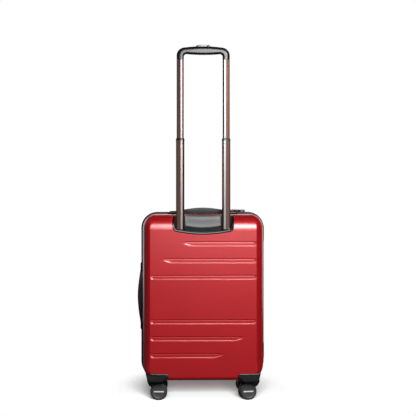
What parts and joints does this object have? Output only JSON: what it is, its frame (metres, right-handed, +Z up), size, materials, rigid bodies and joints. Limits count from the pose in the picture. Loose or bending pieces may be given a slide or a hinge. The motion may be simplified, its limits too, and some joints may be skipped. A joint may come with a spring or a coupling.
{
  "type": "hard shell suitcase on wheels",
  "caption": "Cabin-size zipped hard shell suitcase with grooved red shells, telescopic trolley handle, carry handles, lock and spinner wheels.",
  "frame": {"origin": "centre of the bounding box in X and Y, at the floor under the wheels", "axes": "+Z up along the height, +X to the right seen from the trolley side, +Y through the depth from the trolley side to the lid"},
  "size_m": [0.3804, 0.2319, 1.0358],
  "materials": {
    "red_shell": "satin, fine texture",
    "black_gloss": "gloss",
    "black_satin": "satin",
    "black_fabric": "woven tape",
    "lining": "woven lining",
    "bronze": "bronze anodised, polished",
    "grey_button": "satin",
    "steel": "brushed",
    "zip_metal": "dark nickel",
    "wheel": "matte",
    "dial": "satin"
  },
  "bodies": {
    "case": {"back_shell": "red_shell", "back_zip_frame": "black_satin", "back_zip_tape": "black_fabric", "hinge_strip": "black_fabric", "back_lining": "lining", "trolley_housing": "black_gloss", "fixed_tube_left": "steel", "fixed_tube_right": "steel", "corner_guard_back_left": "black_satin", "corner_guard_back_right": "black_satin", "top_handle_cap_left": "black_satin", "top_handle_cap_right": "black_satin", "side_handle_cap_lower": "black_satin", "side_handle_cap_upper": "black_satin"},
    "lid": {"front_shell": "red_shell", "front_zip_frame": "black_satin", "front_zip_tape": "black_fabric", "front_lining": "lining", "lock_body": "black_satin", "zip_slider_left": "zip_metal", "zip_slider_right": "zip_metal", "corner_guard_front_left": "black_satin", "corner_guard_front_right": "black_satin", "side_foot_upper": "black_satin", "side_foot_lower": "black_satin"},
    "lower_stage": {"middle_tube_left": "bronze", "middle_tube_right": "bronze", "collar_left": "black_satin", "collar_right": "black_satin"},
    "upper_stage": {"inner_tube_left": "bronze", "inner_tube_right": "bronze", "grip_back_half": "black_satin", "grip_front_half": "black_satin"},
    "button": {"release_button": "grey_button", "push_rod_left": "steel", "push_rod_right": "steel"},
    "top_strap": {"top_handle_strap": "black_satin"},
    "side_strap": {"side_handle_strap": "black_satin"},
    "dial_1": {"number_dial_1": "dial"},
    "dial_2": {"number_dial_2": "dial"},
    "dial_3": {"number_dial_3": "dial"},
    "lock_button": {"lock_slider": "grey_button"},
    "pull_left": {"zip_pull_left": "zip_metal"},
    "pull_right": {"zip_pull_right": "zip_metal"},
    "fork_back_left": {"caster_fork_back_left": "black_satin"},
    "wheel_back_left": {"axle_back_left": "steel", "wheel_outer_back_left": "wheel", "wheel_inner_back_left": "wheel"},
    "fork_back_right": {"caster_fork_back_right": "black_satin"},
    "wheel_back_right": {"axle_back_right": "steel", "wheel_outer_back_right": "wheel", "wheel_inner_back_right": "wheel"},
    "fork_front_left": {"caster_fork_front_left": "black_satin"},
    "wheel_front_left": {"axle_front_left": "steel", "wheel_outer_front_left": "wheel", "wheel_inner_front_left": "wheel"},
    "fork_front_right": {"caster_fork_front_right": "black_satin"},
    "wheel_front_right": {"axle_front_right": "steel", "wheel_outer_front_right": "wheel", "wheel_inner_front_right": "wheel"}
  },
  "joints": [
    {"name": "lower_stage_slide", "type": "slide", "parent": "case", "child": "lower_stage", "axis": [0, 0, -1], "range_m": [0, 0.254]},
    {"name": "upper_stage_slide", "type": "slide", "parent": "lower_stage", "child": "upper_stage", "axis": [0, 0, -1], "range_m": [0, 0.228]},
    {"name": "release_button_press", "type": "slide", "parent": "upper_stage", "child": "button", "axis": [0, 0, -1], "range_m": [0, 0.003], "stiffness_N_per_m": 900, "springref_m": -0.001},
    {"name": "lid_hinge", "type": "hinge", "parent": "case", "child": "lid", "pos_m": [0.18525, 0, 0.3], "axis": [0, 0, -1], "range_deg": [0, 180]},
    {"name": "top_handle_lift", "type": "slide", "parent": "case", "child": "top_strap", "axis": [0, 0, 1], "range_m": [0, 0.006], "stiffness_N_per_m": 400},
    {"name": "side_handle_lift", "type": "slide", "parent": "case", "child": "side_strap", "axis": [-1, 0, 0], "range_m": [0, 0.006], "stiffness_N_per_m": 400},
    {"name": "lock_button_slide", "type": "slide", "parent": "lid", "child": "lock_button", "axis": [1, 0, 0], "range_m": [0, 0.003], "stiffness_N_per_m": 300, "springref_m": -0.001},
    {"name": "number_dial_1_turn", "type": "hinge", "parent": "lid", "child": "dial_1", "pos_m": [0.09325, 0.035, 0.5514], "axis": [1, 0, 0], "continuous": true},
    {"name": "number_dial_2_turn", "type": "hinge", "parent": "lid", "child": "dial_2", "pos_m": [0.09975, 0.035, 0.5514], "axis": [1, 0, 0], "continuous": true},
    {"name": "number_dial_3_turn", "type": "hinge", "parent": "lid", "child": "dial_3", "pos_m": [0.10625, 0.035, 0.5514], "axis": [1, 0, 0], "continuous": true},
    {"name": "zip_pull_left_flip", "type": "hinge", "parent": "lid", "child": "pull_left", "pos_m": [0.09225, 0.0056, 0.5546], "axis": [1, 0, 0], "range_deg": [0, 95]},
    {"name": "zip_pull_right_flip", "type": "hinge", "parent": "lid", "child": "pull_right", "pos_m": [0.11925, 0.0056, 0.5546], "axis": [1, 0, 0], "range_deg": [0, 95]},
    {"name": "swivel_back_left", "type": "hinge", "parent": "case", "child": "fork_back_left", "pos_m": [-0.13725, -0.077, 0.056], "axis": [0, 0, 1], "continuous": true},
    {"name": "wheel_spin_back_left", "type": "hinge", "parent": "fork_back_left", "child": "wheel_back_left", "pos_m": [-0.12725, -0.077, 0.025], "axis": [0, 1, 0], "continuous": true},
    {"name": "swivel_back_right", "type": "hinge", "parent": "case", "child": "fork_back_right", "pos_m": [0.14175, -0.077, 0.056], "axis": [0, 0, 1], "continuous": true},
    {"name": "wheel_spin_back_right", "type": "hinge", "parent": "fork_back_right", "child": "wheel_back_right", "pos_m": [0.13193, -0.07891, 0.025], "axis": [0.1908, -0.9816, 0], "continuous": true},
    {"name": "swivel_front_left", "type": "hinge", "parent": "lid", "child": "fork_front_left", "pos_m": [-0.13725, 0.077, 0.056], "axis": [0, 0, 1], "continuous": true},
    {"name": "wheel_spin_front_left", "type": "hinge", "parent": "fork_front_left", "child": "wheel_front_left", "pos_m": [-0.12725, 0.077, 0.025], "axis": [0, 1, 0], "continuous": true},
    {"name": "swivel_front_right", "type": "hinge", "parent": "lid", "child": "fork_front_right", "pos_m": [0.14175, 0.077, 0.056], "axis": [0, 0, 1], "continuous": true},
    {"name": "wheel_spin_front_right", "type": "hinge", "parent": "fork_front_right", "child": "wheel_front_right", "pos_m": [0.13193, 0.07509, 0.025], "axis": [0.1908, -0.9816, 0], "continuous": true}
  ]
}
